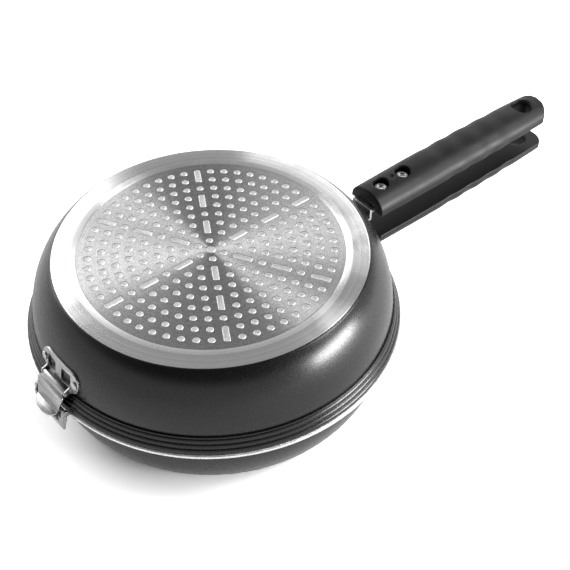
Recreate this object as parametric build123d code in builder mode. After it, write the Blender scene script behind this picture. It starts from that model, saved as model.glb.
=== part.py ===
from build123d import *
from math import acos, asin, cos, degrees, radians, sin, sqrt
import os

os.makedirs("parts", exist_ok=True)

# A double sided flip pan: two round pans closed rim to rim, joined at the back by a sheet steel
# hinge with a release hook, each with its own handle at the front.
# Frame: origin on the pan axis at the lower base, handles along +X, hinge at -X, +Z up. Millimetres.

# ---- driving dimensions ---------------------------------------------------------------------

# pans
base_radius = 100.0          # outer radius of the turned base ring
lower_height = 46.5          # lower base to lower rim plane
upper_height = 52.2          # upper base to upper rim plane
rim_gap = 0.3                # closed gap between the two rim planes
wall = 3.0                   # side wall
floor_thickness = 5.0        # cooking floor
lower_wall_inset = 2.9       # widest part of the lower wall inside the skirt's inner radius
lower_rim_depth = 7.0        # from there, where the wall stands upright, to the rim plane
upper_wall_inset = 1.9
upper_rim_depth = 7.7
bulge_centre = 86.0          # radius of the centre of the wall's elliptic arc
floor_fillet = 8.0
edge_fillet = 1.2            # where the base ring meets the wall

# rims, sized from the inside of the upper pan's skirt
skirt_inner_radius = 118.4

# lower rim: an outward lip with a raised inner bead that locates the upper pan
lip_reach = 4.0              # lip edge outside the skirt's inner radius
lip_thickness = 1.9
lip_chamfer = 1.0
spigot_width = 1.9
spigot_height = 1.7
spigot_gap = 0.4

# upper rim: a ribbed skirt outside a shallow groove
skirt_top_thickness = 0.8
skirt_bottom_thickness = 3.1
skirt_height = 10.2
rib_count = 3
rib_rise = 1.0
skirt_foot = 1.2             # plain edge below the last rib
groove_width = 1.6
skirt_flare = 4.0            # height over which the inside widens to the skirt

# base ring and induction disc
ring_inner_radius = 89.0
disc_radius = 84.5
disc_recess = 0.6            # disc face above the ring plane
disc_thickness = 0.6
disc_gap = 0.1               # radial gap round the disc
hole_rings = 9
ring_pitch = 8.59
dot_radius = 2.5
centre_dot_radius = 3.3
spoke_count = 6
dash_length = 13.0
dash_width = 4.5
dash_corner = 1.3

# handles
handle_gap_to_lip = 11.6     # handle end to the lower lip
handle_length = 174.0
handle_half_width = 15.7
handle_depth = 14.0
handle_side = 2.0            # upright side below the rounded back
handle_swell = 0.7           # extra half width and depth at the middle
handle_tip_shrink = 1.2
handle_tip_radius = 13.0
handle_gap = 18.2            # between the two flat faces
upper_handle_rise = 13.8     # upper flat face above the rim split
hang_hole_radius = 7.2
hang_hole_inset = 17.0       # hole centre from the handle tip
dimple_radius = 2.0
dimple_depth = 0.8

# handle brackets
sheet = 2.0
bracket_half_width = 9.0
tongue_length = 44.0
tongue_inset = 1.6           # tongue below the flat face
tongue_clearance = 0.15
riser_rise = 4.4             # riser above the flat face
riser_gap = 3.0              # riser to handle end
bracket_seat_gap = 0.1
upper_foot_height = 9.4
lower_foot_height = 12.0
bracket_foot_clearance = 1.0
lower_shelf_drop = 9.65      # lower shelf below the rim split
bracket_rivet_radius = 2.0
bracket_rivet_spread = 5.5   # rivets each side of the centre plane
rivet_head_radius = 3.2
rivet_head_height = 1.2
rivet_fit = 0.05
rivet_seat_gap = 0.1         # flat heads over curved walls
skirt_screw_radius = 2.0
skirt_screw_head_radius = 2.7
skirt_screw_head_height = 1.6
skirt_screw_depth = 3.2      # screw length inside the skirt

# handle screws
screw_radius = 2.0
screw_head_radius = 3.8
screw_head_height = 2.6
screw_first = 13.0           # first screw from the handle end
screw_spacing = 20.5
screw_recess_radius = 5.2
screw_fit = 0.05
screw_seat = 8.4             # head seat above the flat face
screw_tip_inset = 0.8        # screw end and its blind hole above the flat face
cross_width = 1.1
cross_length = 4.6
cross_depth = 1.3

# hinge
hinge_sheet = 1.2
hinge_seat_gap = 0.05
upper_plate_half_width = 19.4
upper_plate_rise = 12.85     # upper plate's lower edge above the rim split
upper_plate_height = 16.4
upper_plate_corner = 8.0
window_width = 9.2           # two windows through the upper plate, either side of a bridge
window_height = 9.6
window_drop = 3.0            # their upper edges below the upper plate's
window_corner = 1.2
bridge_half_width = 3.2
lower_plate_half_width = 14.5
lower_plate_drop = 8.85      # lower plate's upper edge below the rim split
lower_plate_height = 8.4
lower_plate_corner = 4.0
upper_rivet_spread = 15.9    # from the centre plane
lower_rivet_spread = 10.4
hinge_rivet_radius = 1.6
hinge_rivet_head = 2.6
hinge_rivet_head_height = 1.0
pin_offset = 2.0             # pin outside the lower lip
pin_rise = 1.35              # pin above the rim split
pin_radius = 1.25
pin_fit = 0.05
pin_overhang = 0.8
pin_head_radius = 2.1
cheek_inner = 14.3           # cheek inner faces from the centre plane
cheek_radius = 2.1           # round the pin
arm_half_width = 9.0
arm_thickness = 1.4
arm_reach = 3.0              # arm beyond the pin
frame_drop = 1.2             # upright frame's lower edge below the arm
leg_drop = 3.0               # tops of the frame's legs below the pin
leg_gap = 0.6                # thumb tab to leg
axle_offset = 3.4            # axle outside the widest part of the upper wall
axle_rise = 13.85            # axle above the rim split
axle_radius = 0.9
axle_fit = 0.05
axle_overhang = 0.6
axle_head_radius = 1.5
axle_lug_radius = 2.0
lug_root = 4.4               # height of the lug where it leaves the plate
lug_bite = 0.3               # how far the lug's root runs into the plate's thickness
hook_sheet = 1.0
hook_eye_radius = 1.8
hook_eye_half_width = 11.4
hook_shoulder_offset = 1.2   # outer fold, outside the lower lip
hook_shoulder_rise = 11.45   # and above the rim split
hook_shoulder_half_width = 13.8
hook_shoulder_round = 3.0
hook_waist_offset = 4.8      # lower fold, where the thumb tab starts
hook_waist_drop = 0.05       # and below the rim split
hook_waist_half_width = 10.7
tab_reach = 5.8
tab_drop = 2.0
lug_gap = 0.5                # hook eye to lug

# ---- derived places -------------------------------------------------------------------------

total_height = lower_height + rim_gap + upper_height
split_z = lower_height + rim_gap / 2
lower_wall_radius = skirt_inner_radius - lower_wall_inset
lower_wall_height = lower_height - lower_rim_depth
upper_wall_radius = skirt_inner_radius - upper_wall_inset
upper_wall_height = upper_height - upper_rim_depth
skirt_top_radius = skirt_inner_radius + skirt_top_thickness
skirt_bottom_radius = skirt_inner_radius + skirt_bottom_thickness
lip_radius = skirt_inner_radius + lip_reach
handle_start = lip_radius + handle_gap_to_lip
lower_shelf_top = split_z - lower_shelf_drop
upper_plate_low = split_z + upper_plate_rise
upper_plate_high = upper_plate_low + upper_plate_height
lower_plate_high = split_z - lower_plate_drop
lower_plate_low = lower_plate_high - lower_plate_height
pin_x = -lip_radius - pin_offset
pin_z = split_z + pin_rise
axle_x = -upper_wall_radius - axle_offset
axle_z = split_z + axle_rise
hook_shoulder_x = -lip_radius - hook_shoulder_offset
hook_shoulder_z = split_z + hook_shoulder_rise
hook_waist_x = -lip_radius - hook_waist_offset
hook_waist_z = split_z - hook_waist_drop
upper_flat_z = split_z + upper_handle_rise
lower_flat_z = upper_flat_z - handle_gap
handle_end = handle_start + handle_length
screw_xs = [handle_start + screw_first, handle_start + screw_first + screw_spacing]
hang_hole_x = handle_end - hang_hole_inset
riser_x = handle_start - riser_gap - sheet
tongue_end = handle_start + tongue_length
spigot_radius = skirt_inner_radius - spigot_gap
pocket_depth = disc_recess + disc_thickness
pocket_radius = disc_radius + disc_gap
cheek_outer = cheek_inner + hinge_sheet
lug_inner = hook_eye_half_width + lug_gap
lug_outer = lug_inner + hinge_sheet


# ---- pans -----------------------------------------------------------------------------------

def radial_plane(angle, inverted=False):
    """Section plane through the axis: local x is the radius, local y the height above the base."""
    direction = Vector(cos(radians(angle)), sin(radians(angle)), 0)
    across = Vector(sin(radians(angle)), -cos(radians(angle)), 0)
    if inverted:
        return Plane(origin=(0, 0, total_height), x_dir=direction, z_dir=-across)
    return Plane(origin=(0, 0, 0), x_dir=direction, z_dir=across)


class WallCurve:
    """The elliptic side wall of a pan, from the base ring to where it stands upright."""

    def __init__(self, wall_radius, wall_height):
        self.centre = (bulge_centre, wall_height)
        self.half_width = wall_radius - bulge_centre
        self.foot_angle = acos((base_radius - bulge_centre) / self.half_width)
        self.half_height = wall_height / sin(self.foot_angle)

    def angle_at(self, height, inset=0.0):
        return asin((self.centre[1] - height) / (self.half_height - inset))

    def radius_at(self, height, inset=0.0):
        return bulge_centre + (self.half_width - inset) * cos(self.angle_at(height, inset))

    def arc(self, low_angle, high_angle=0.0, inset=0.0):
        """Arc between two ellipse angles in radians, counted downwards from the upright end."""
        return EllipticalCenterArc(self.centre, self.half_width - inset, self.half_height - inset,
                                   start_angle=-degrees(low_angle),
                                   arc_size=degrees(low_angle - high_angle))


lower_wall = WallCurve(lower_wall_radius, lower_wall_height)
upper_wall = WallCurve(upper_wall_radius, upper_wall_height)


def outer_outline(curve):
    """Underside from the axis outwards, with the disc pocket, turned step and ring, then the wall."""
    Polyline((0, pocket_depth), (pocket_radius, pocket_depth), (pocket_radius, disc_recess),
             (ring_inner_radius, 0), (base_radius, 0))
    curve.arc(curve.foot_angle)


def inner_outline(curve, rim_points):
    """From the rim's inner edge down the inside wall and across the floor to the axis."""
    inner_top = (curve.centre[0] + curve.half_width - wall, curve.centre[1])
    Polyline(*rim_points, inner_top)
    curve.arc(curve.angle_at(floor_thickness, wall), inset=wall)
    Polyline((curve.radius_at(floor_thickness, wall), floor_thickness),
             (0, floor_thickness), (0, pocket_depth))


def round_corners(section, curve):
    """Fillet the floor corner of the cooking side and the foot of the outer wall."""
    floor_corner = (curve.radius_at(floor_thickness, wall), floor_thickness)
    fillet(section.vertices().sort_by_distance(floor_corner)[0], floor_fillet)
    fillet(section.vertices().sort_by_distance((base_radius, 0))[0], edge_fillet)


def rib_outline():
    """Ribs stacked down the skirt, each a shallow arc, from the groove side to the skirt's foot."""
    top = Vector(skirt_top_radius, upper_height - skirt_height)
    bottom = Vector(skirt_bottom_radius, upper_height - skirt_foot)
    step = (bottom - top) / rib_count
    outward = Vector(step.Y, -step.X).normalized() * rib_rise
    for rib in range(rib_count):
        start = top + step * rib
        ThreePointArc(start, start + step / 2 + outward, start + step)


def bore_along_x(points, radius, start, end):
    """Cut round holes along X through the part being built."""
    with BuildSketch(Plane.YZ.offset(start)) as holes:
        with Locations(*points):
            Circle(radius)
    extrude(holes.sketch, amount=end - start, mode=Mode.SUBTRACT)


def wall_normal_plane(curve, angle, z, inverted):
    """Plane on the outside of a pan wall at a plan angle and height, facing squarely outwards."""
    height = total_height - z if inverted else z
    slope = curve.angle_at(height)
    radial = cos(slope) / curve.half_width
    upward = sin(slope) / curve.half_height * (1 if inverted else -1)
    direction = Vector(cos(radians(angle)), sin(radians(angle)), 0)
    return Plane(origin=direction * curve.radius_at(height) + Vector(0, 0, z),
                 x_dir=(-direction.Y, direction.X, 0),
                 z_dir=direction * radial + Vector(0, 0, upward))


def hinge_rivet_planes(curve, z, spread, inverted):
    height = total_height - z if inverted else z
    angle = degrees(asin(spread / curve.radius_at(height)))
    return [wall_normal_plane(curve, 180 + side * angle, z, inverted) for side in (-1, 1)]


def bore_for_hinge_rivets(planes):
    """Cut the hinge rivet holes through the wall or plate being built."""
    for plane in planes:
        with BuildSketch(plane.offset(-2 * wall)) as hole:
            Circle(hinge_rivet_radius + rivet_fit)
        extrude(hole.sketch, amount=4 * wall, mode=Mode.SUBTRACT)


upper_foot_low = split_z + rim_gap / 2 + bracket_foot_clearance
upper_shelf_top = upper_foot_low + upper_foot_height
upper_screw_z = (upper_foot_low + upper_shelf_top - sheet) / 2
lower_foot_low = lower_shelf_top - lower_foot_height
lower_rivet_z = (lower_foot_low + lower_shelf_top - sheet) / 2
upper_foot_x = skirt_bottom_radius + rib_rise + bracket_seat_gap
lower_foot_x = lower_wall_radius + bracket_seat_gap
skirt_screw_tip_x = skirt_bottom_radius - skirt_screw_depth + rib_rise
upper_screws = [(side * bracket_rivet_spread, upper_screw_z) for side in (-1, 1)]
lower_rivets = [(side * bracket_rivet_spread, lower_rivet_z) for side in (-1, 1)]
upper_hinge_planes = hinge_rivet_planes(upper_wall, (upper_plate_low + upper_plate_high) / 2,
                                        upper_rivet_spread, True)
lower_hinge_planes = hinge_rivet_planes(lower_wall, (lower_plate_low + lower_plate_high) / 2,
                                        lower_rivet_spread, False)

with BuildPart() as lower_pan:
    with BuildSketch(radial_plane(0)) as lower_section:
        with BuildLine():
            outer_outline(lower_wall)
            Polyline((lower_wall_radius, lower_wall_height),
                     (lip_radius - lip_chamfer, lower_height - lip_thickness - lip_chamfer),
                     (lip_radius, lower_height - lip_thickness),
                     (lip_radius, lower_height),
                     (spigot_radius, lower_height),
                     (spigot_radius, lower_height + spigot_height))
            inner_outline(lower_wall, [
                (spigot_radius, lower_height + spigot_height),
                (spigot_radius - spigot_width, lower_height + spigot_height),
                (spigot_radius - spigot_width, lower_height - lip_thickness)])
        make_face()
        round_corners(lower_section, lower_wall)
    revolve(axis=Axis.Z)
    bore_along_x(lower_rivets, bracket_rivet_radius + rivet_fit, bulge_centre, handle_start)
    bore_for_hinge_rivets(lower_hinge_planes)
lower_pan.part.label = "lower_pan"
export_step(lower_pan.part, "parts/lower_pan.step")

with BuildPart() as upper_pan:
    with BuildSketch(radial_plane(0, inverted=True)) as upper_section:
        with BuildLine():
            outer_outline(upper_wall)
            Polyline((upper_wall_radius, upper_wall_height),
                     (skirt_top_radius - groove_width / 2, upper_wall_height),
                     (skirt_top_radius, upper_height - skirt_height))
            rib_outline()
            Polyline((skirt_bottom_radius, upper_height - skirt_foot),
                     (skirt_bottom_radius, upper_height),
                     (skirt_inner_radius, upper_height))
            inner_outline(upper_wall, [
                (skirt_inner_radius, upper_height),
                (skirt_inner_radius, upper_wall_height + skirt_flare)])
        make_face()
        round_corners(upper_section, upper_wall)
    revolve(axis=Axis.Z)
    bore_along_x(upper_screws, skirt_screw_radius + rivet_fit, skirt_screw_tip_x, handle_start)
    bore_for_hinge_rivets(upper_hinge_planes)
upper_pan.part.label = "upper_pan"
export_step(upper_pan.part, "parts/upper_pan.step")


# ---- induction discs ------------------------------------------------------------------------

def dot_places():
    """Dots on concentric rings, six per ring number, leaving the spokes free where dashes lie."""
    places = []
    for ring in range(1, hole_rings + 1):
        per_spoke = ring
        on_spoke_too = ring % 3 == 1
        for index in range(spoke_count * per_spoke):
            if index % per_spoke == 0 and not on_spoke_too:
                continue
            angle = 2 * 180 / (spoke_count * per_spoke) * index
            places.append((ring * ring_pitch * cos(radians(angle)),
                           ring * ring_pitch * sin(radians(angle))))
    return places


def make_disc(name, plane):
    """Thin steel disc, pierced with dots and radial dashes, bonded into the base."""
    with BuildPart() as disc:
        with BuildSketch(plane) as pierced:
            Circle(disc_radius)
            Circle(centre_dot_radius, mode=Mode.SUBTRACT)
            with Locations(*dot_places()):
                Circle(dot_radius, mode=Mode.SUBTRACT)
            for first_ring in range(2, hole_rings, 3):
                with PolarLocations((first_ring + 0.5) * ring_pitch, spoke_count):
                    RectangleRounded(dash_length, dash_width, dash_corner, mode=Mode.SUBTRACT)
        extrude(pierced.sketch, amount=disc_thickness)
    disc.part.label = name
    export_step(disc.part, f"parts/{name}.step")
    return disc


lower_induction_disc = make_disc("lower_induction_disc", Plane.XY.offset(disc_recess))
upper_induction_disc = make_disc("upper_induction_disc",
                                 Plane.XY.offset(total_height - disc_recess - disc_thickness))


# ---- handle brackets ------------------------------------------------------------------------

def make_bracket(name, outline, tongue_low, mount_holes):
    """Folded steel strip: foot on the pan, shelf, riser and the tongue inside the handle."""
    with BuildPart() as bracket:
        with BuildSketch(Plane.XZ) as side_view:
            with BuildLine():
                Polyline(*outline, close=True)
            make_face()
        extrude(side_view.sketch, amount=bracket_half_width, both=True)
        bore_along_x(mount_holes, bracket_rivet_radius + rivet_fit, bulge_centre, riser_x)
        with BuildSketch(Plane.XY.offset(tongue_low)) as screw_holes:
            with Locations(*[(x, 0) for x in screw_xs]):
                Circle(screw_radius + screw_fit)
        extrude(screw_holes.sketch, amount=sheet, mode=Mode.SUBTRACT)
    bracket.part.label = name
    export_step(bracket.part, f"parts/{name}.step")
    return bracket


upper_tongue_low = upper_flat_z + tongue_inset
upper_riser_top = upper_flat_z + riser_rise
upper_bracket = make_bracket("upper_bracket", [
    (upper_foot_x, upper_foot_low), (upper_foot_x + sheet, upper_foot_low),
    (upper_foot_x + sheet, upper_shelf_top - sheet), (riser_x + sheet, upper_shelf_top - sheet),
    (riser_x + sheet, upper_tongue_low), (tongue_end, upper_tongue_low),
    (tongue_end, upper_tongue_low + sheet), (riser_x + sheet, upper_tongue_low + sheet),
    (riser_x + sheet, upper_riser_top), (riser_x, upper_riser_top),
    (riser_x, upper_shelf_top), (upper_foot_x, upper_shelf_top)],
    upper_tongue_low, upper_screws)

lower_tongue_high = lower_flat_z - tongue_inset
lower_bracket = make_bracket("lower_bracket", [
    (lower_foot_x, lower_foot_low), (lower_foot_x + sheet, lower_foot_low),
    (lower_foot_x + sheet, lower_shelf_top - sheet), (riser_x + sheet, lower_shelf_top - sheet),
    (riser_x + sheet, lower_tongue_high - sheet), (tongue_end, lower_tongue_high - sheet),
    (tongue_end, lower_tongue_high), (riser_x, lower_tongue_high),
    (riser_x, lower_shelf_top), (lower_foot_x, lower_shelf_top)],
    lower_tongue_high - sheet, lower_rivets)


lower_inner_radius = lower_wall.radius_at(lower_rivet_z - rivet_head_radius, wall)
rivet_seat_x = sqrt(lower_inner_radius ** 2 - (bracket_rivet_spread + rivet_head_radius) ** 2)
rivet_tail_x = lower_foot_x + sheet

with BuildPart() as lower_bracket_rivets:
    for seat_x, head_side in ((rivet_seat_x, -1), (rivet_tail_x, 1)):
        with BuildSketch(Plane.YZ.offset(seat_x)) as heads:
            with Locations(*lower_rivets):
                Circle(rivet_head_radius)
        extrude(heads.sketch, amount=head_side * rivet_head_height)
    with BuildSketch(Plane.YZ.offset(rivet_seat_x)) as shanks:
        with Locations(*lower_rivets):
            Circle(bracket_rivet_radius)
    extrude(shanks.sketch, amount=rivet_tail_x - rivet_seat_x)
lower_bracket_rivets.part.label = "lower_bracket_rivets"
export_step(lower_bracket_rivets.part, "parts/lower_bracket_rivets.step")

with BuildPart() as upper_bracket_screws:
    with BuildSketch(Plane.YZ.offset(upper_foot_x + sheet)) as heads:
        with Locations(*upper_screws):
            Circle(skirt_screw_head_radius)
    extrude(heads.sketch, amount=skirt_screw_head_height)
    with BuildSketch(Plane.YZ.offset(skirt_screw_tip_x)) as shanks:
        with Locations(*upper_screws):
            Circle(skirt_screw_radius)
    extrude(shanks.sketch, amount=upper_foot_x + sheet - skirt_screw_tip_x)
    with BuildSketch(Plane.YZ.offset(upper_foot_x + sheet + skirt_screw_head_height)) as crosses:
        with Locations(*upper_screws):
            Rectangle(2 * skirt_screw_radius, cross_width)
            Rectangle(cross_width, 2 * skirt_screw_radius)
    extrude(crosses.sketch, amount=-cross_depth, mode=Mode.SUBTRACT)
upper_bracket_screws.part.label = "upper_bracket_screws"
export_step(upper_bracket_screws.part, "parts/upper_bracket_screws.step")


# ---- handles --------------------------------------------------------------------------------

def handle_plane(x, flat_z, side):
    """Cross section plane: local x across the handle, local y away from the flat face."""
    return Plane(origin=(x, 0, flat_z), x_dir=(0, side, 0), z_dir=(1, 0, 0))


def make_handle(name, flat_z, side):
    """Moulded grip: flat inside, rounded back, tongue pocket, screw recesses, hanging hole."""
    swells = [0.0, handle_swell, -handle_tip_shrink]
    stations = [handle_start, handle_start + handle_length / 2, handle_end]
    with BuildPart() as handle:
        for station, swell in zip(stations, swells):
            with BuildSketch(handle_plane(station, flat_z, side)):
                with BuildLine():
                    half_width = handle_half_width + swell
                    Polyline((-half_width, handle_side), (-half_width, 0), (half_width, 0),
                             (half_width, handle_side))
                    EllipticalCenterArc((0, handle_side), half_width,
                                        handle_depth + swell - handle_side,
                                        start_angle=0, arc_size=180)
                make_face()
        loft()
        with BuildSketch(Plane.XY.offset(flat_z)) as plan:
            with Locations((handle_start + handle_length / 2, 0)):
                Rectangle(handle_length, 2 * (handle_half_width + handle_swell))
            fillet(plan.vertices().group_by(Axis.X)[-1], handle_tip_radius)
        extrude(plan.sketch, amount=side * (handle_depth + handle_swell), mode=Mode.INTERSECT)
        slot_depth = sheet + 2 * tongue_clearance
        slot_length = tongue_length + 2 * tongue_clearance
        with BuildSketch(Plane.XY.offset(flat_z + side * (tongue_inset - tongue_clearance))) as slot:
            with Locations((handle_start + slot_length / 2, 0)):
                Rectangle(slot_length, 2 * (bracket_half_width + tongue_clearance))
        extrude(slot.sketch, amount=side * slot_depth, mode=Mode.SUBTRACT)
        with BuildSketch(Plane.XY.offset(flat_z)) as hang_hole:
            with Locations((hang_hole_x, 0)):
                Circle(hang_hole_radius)
        extrude(hang_hole.sketch, amount=side * 2 * handle_depth, mode=Mode.SUBTRACT)
        with BuildSketch(Plane.XY.offset(flat_z + side * (screw_tip_inset - screw_fit))) as screw_holes:
            with Locations(*[(x, 0) for x in screw_xs]):
                Circle(screw_radius + screw_fit)
        extrude(screw_holes.sketch, amount=side * handle_depth, mode=Mode.SUBTRACT)
        with BuildSketch(Plane.XY.offset(flat_z + side * screw_seat)) as recess:
            with Locations(*[(x, 0) for x in screw_xs]):
                Circle(screw_recess_radius)
        extrude(recess.sketch, amount=side * handle_depth, mode=Mode.SUBTRACT)
        with BuildSketch(Plane.XY.offset(flat_z + side * (handle_depth - dimple_depth))) as dimple:
            with Locations((sum(screw_xs) / 2, 0)):
                Circle(dimple_radius)
        extrude(dimple.sketch, amount=side * handle_depth, mode=Mode.SUBTRACT)
    handle.part.label = name
    export_step(handle.part, f"parts/{name}.step")
    return handle


upper_handle = make_handle("upper_handle", upper_flat_z, 1)
lower_handle = make_handle("lower_handle", lower_flat_z, -1)


def make_screws(name, flat_z, side):
    """Two cross recessed pan head screws through the handle into the tongue."""
    tip = flat_z + side * screw_tip_inset
    seat = flat_z + side * screw_seat
    with BuildPart() as screws:
        for x in screw_xs:
            with BuildSketch(Plane.XY.offset(tip)) as shank:
                with Locations((x, 0)):
                    Circle(screw_radius)
            extrude(shank.sketch, amount=seat - tip)
            with BuildSketch(Plane.XY.offset(seat)) as head:
                with Locations((x, 0)):
                    Circle(screw_head_radius)
            extrude(head.sketch, amount=side * screw_head_height)
            with BuildSketch(Plane.XY.offset(seat + side * screw_head_height)) as cross:
                with Locations((x, 0)):
                    Rectangle(cross_length, cross_width)
                    Rectangle(cross_width, cross_length)
            extrude(cross.sketch, amount=-side * cross_depth, mode=Mode.SUBTRACT)
    screws.part.label = name
    export_step(screws.part, f"parts/{name}.step")
    return screws


upper_handle_screws = make_screws("upper_handle_screws", upper_flat_z, 1)
lower_handle_screws = make_screws("lower_handle_screws", lower_flat_z, -1)


# ---- hinge ----------------------------------------------------------------------------------

def add_wall_plate(curve, low, high, half_width, corner, inverted):
    """Add a curved sheet with rounded corners on the outside of a pan wall between two heights."""
    near, far = -hinge_seat_gap, -hinge_seat_gap - hinge_sheet
    sweep = degrees(asin(half_width / bulge_centre))
    with BuildSketch(radial_plane(180 - sweep, inverted)) as strip:
        with BuildLine():
            for inset in (near, far):
                curve.arc(curve.angle_at(low, inset), curve.angle_at(high, inset), inset)
            for height in (low, high):
                Line((curve.radius_at(height, near), height),
                     (curve.radius_at(height, far), height))
        make_face()
    revolve(strip.sketch, axis=Axis.Z, revolution_arc=2 * sweep)
    middle = total_height - (low + high) / 2 if inverted else (low + high) / 2
    with BuildSketch(Plane.YZ) as outline:
        with Locations((0, middle)):
            RectangleRounded(2 * half_width, high - low, corner)
    extrude(outline.sketch, amount=-2 * base_radius, mode=Mode.INTERSECT)


with BuildPart() as upper_hinge_plate:
    add_wall_plate(upper_wall, total_height - upper_plate_high, total_height - upper_plate_low,
                   upper_plate_half_width, upper_plate_corner, inverted=True)
    bore_for_hinge_rivets(upper_hinge_planes)
    window_middle = upper_plate_high - window_drop - window_height / 2
    with BuildSketch(Plane.YZ) as windows:
        for side in (-1, 1):
            with Locations((side * (bridge_half_width + window_width / 2), window_middle)):
                RectangleRounded(window_width, window_height, window_corner)
    extrude(windows.sketch, amount=-total_height - base_radius, mode=Mode.SUBTRACT)
    lug_root_x = -upper_wall.radius_at(total_height - upper_plate_low - lug_root / 2,
                                       -hinge_seat_gap - hinge_sheet / 2)
    for side in (-1, 1):
        with BuildSketch(Plane.XZ.offset(side * lug_inner)) as lug:
            with Locations((axle_x, axle_z)):
                Circle(axle_lug_radius)
            with Locations((lug_root_x, upper_plate_low + lug_root / 2)):
                Rectangle(lug_bite, lug_root)
            make_hull()
            with Locations((axle_x, axle_z)):
                Circle(axle_radius + axle_fit, mode=Mode.SUBTRACT)
        extrude(lug.sketch, amount=side * hinge_sheet)
upper_hinge_plate.part.label = "upper_hinge_plate"
export_step(upper_hinge_plate.part, "parts/upper_hinge_plate.step")

arm_tip_x = pin_x - arm_reach
frame_inner_x = arm_tip_x + hinge_sheet
arm_low = lower_plate_high - arm_thickness
frame_low = arm_low - frame_drop
leg_top = pin_z - leg_drop
leg_inner = hook_waist_half_width + leg_gap
with BuildPart() as lower_hinge_bracket:
    add_wall_plate(lower_wall, lower_plate_low, lower_plate_high, lower_plate_half_width,
                   lower_plate_corner, inverted=False)
    bore_for_hinge_rivets(lower_hinge_planes)
    arm_root_x = -lower_wall.radius_at(lower_plate_high, -hinge_seat_gap - hinge_sheet / 2)
    with BuildSketch(Plane.XY.offset(arm_low)) as arm:
        with Locations(((arm_root_x + arm_tip_x) / 2, 0)):
            Rectangle(arm_root_x - arm_tip_x, 2 * arm_half_width)
    extrude(arm.sketch, amount=arm_thickness)
    with BuildSketch(Plane.YZ.offset(arm_tip_x)) as upright_frame:
        with Locations((0, (frame_low + leg_top) / 2)):
            Rectangle(2 * cheek_outer, leg_top - frame_low)
        with Locations((0, (lower_plate_high + leg_top) / 2)):
            Rectangle(2 * leg_inner, leg_top - lower_plate_high, mode=Mode.SUBTRACT)
    extrude(upright_frame.sketch, amount=hinge_sheet)
    for side in (-1, 1):
        with BuildSketch(Plane.XZ.offset(side * cheek_inner)) as cheek:
            with Locations((pin_x, pin_z)):
                Circle(cheek_radius)
            with BuildLine():
                Polyline((frame_inner_x, frame_low), (arm_tip_x, frame_low),
                         (arm_tip_x, leg_top), close=True)
            make_face()
            make_hull()
            with Locations((pin_x, pin_z)):
                Circle(pin_radius + pin_fit, mode=Mode.SUBTRACT)
        extrude(cheek.sketch, amount=side * hinge_sheet)
lower_hinge_bracket.part.label = "lower_hinge_bracket"
export_step(lower_hinge_bracket.part, "parts/lower_hinge_bracket.step")


def make_hinge_rivets(name, planes):
    """Two rivets square to the wall, a flat head inside the pan and one on the hinge plate."""
    inner_seat = -wall - rivet_seat_gap
    outer_seat = hinge_seat_gap + hinge_sheet + rivet_seat_gap
    with BuildPart() as rivets:
        for plane in planes:
            with BuildSketch(plane.offset(inner_seat)) as shank:
                Circle(hinge_rivet_radius)
            extrude(shank.sketch, amount=outer_seat - inner_seat)
            with BuildSketch(plane.offset(inner_seat)) as inner_head:
                Circle(hinge_rivet_head)
            extrude(inner_head.sketch, amount=-hinge_rivet_head_height)
            with BuildSketch(plane.offset(outer_seat)) as outer_head:
                Circle(hinge_rivet_head)
            extrude(outer_head.sketch, amount=hinge_rivet_head_height)
    rivets.part.label = name
    export_step(rivets.part, f"parts/{name}.step")
    return rivets


upper_hinge_rivets = make_hinge_rivets("upper_hinge_rivets", upper_hinge_planes)
lower_hinge_rivets = make_hinge_rivets("lower_hinge_rivets", lower_hinge_planes)


def make_pin(name, x, z, radius, seat, overhang, head_radius):
    """Headed pin across the hinge along Y, its heads just outside the plates that carry it."""
    with BuildPart() as pin:
        with BuildSketch(Plane.XZ) as shank:
            with Locations((x, z)):
                Circle(radius)
        extrude(shank.sketch, amount=seat + overhang, both=True)
        for side in (-1, 1):
            with BuildSketch(Plane.XZ.offset(side * (seat + rivet_seat_gap))) as head:
                with Locations((x, z)):
                    Circle(head_radius)
            extrude(head.sketch, amount=side * overhang)
    pin.part.label = name
    export_step(pin.part, f"parts/{name}.step")
    return pin


hinge_pin = make_pin("hinge_pin", pin_x, pin_z, pin_radius, cheek_outer, pin_overhang,
                     pin_head_radius)
hook_axle = make_pin("hook_axle", axle_x, axle_z, axle_radius, lug_outer, axle_overhang,
                     axle_head_radius)

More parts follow.
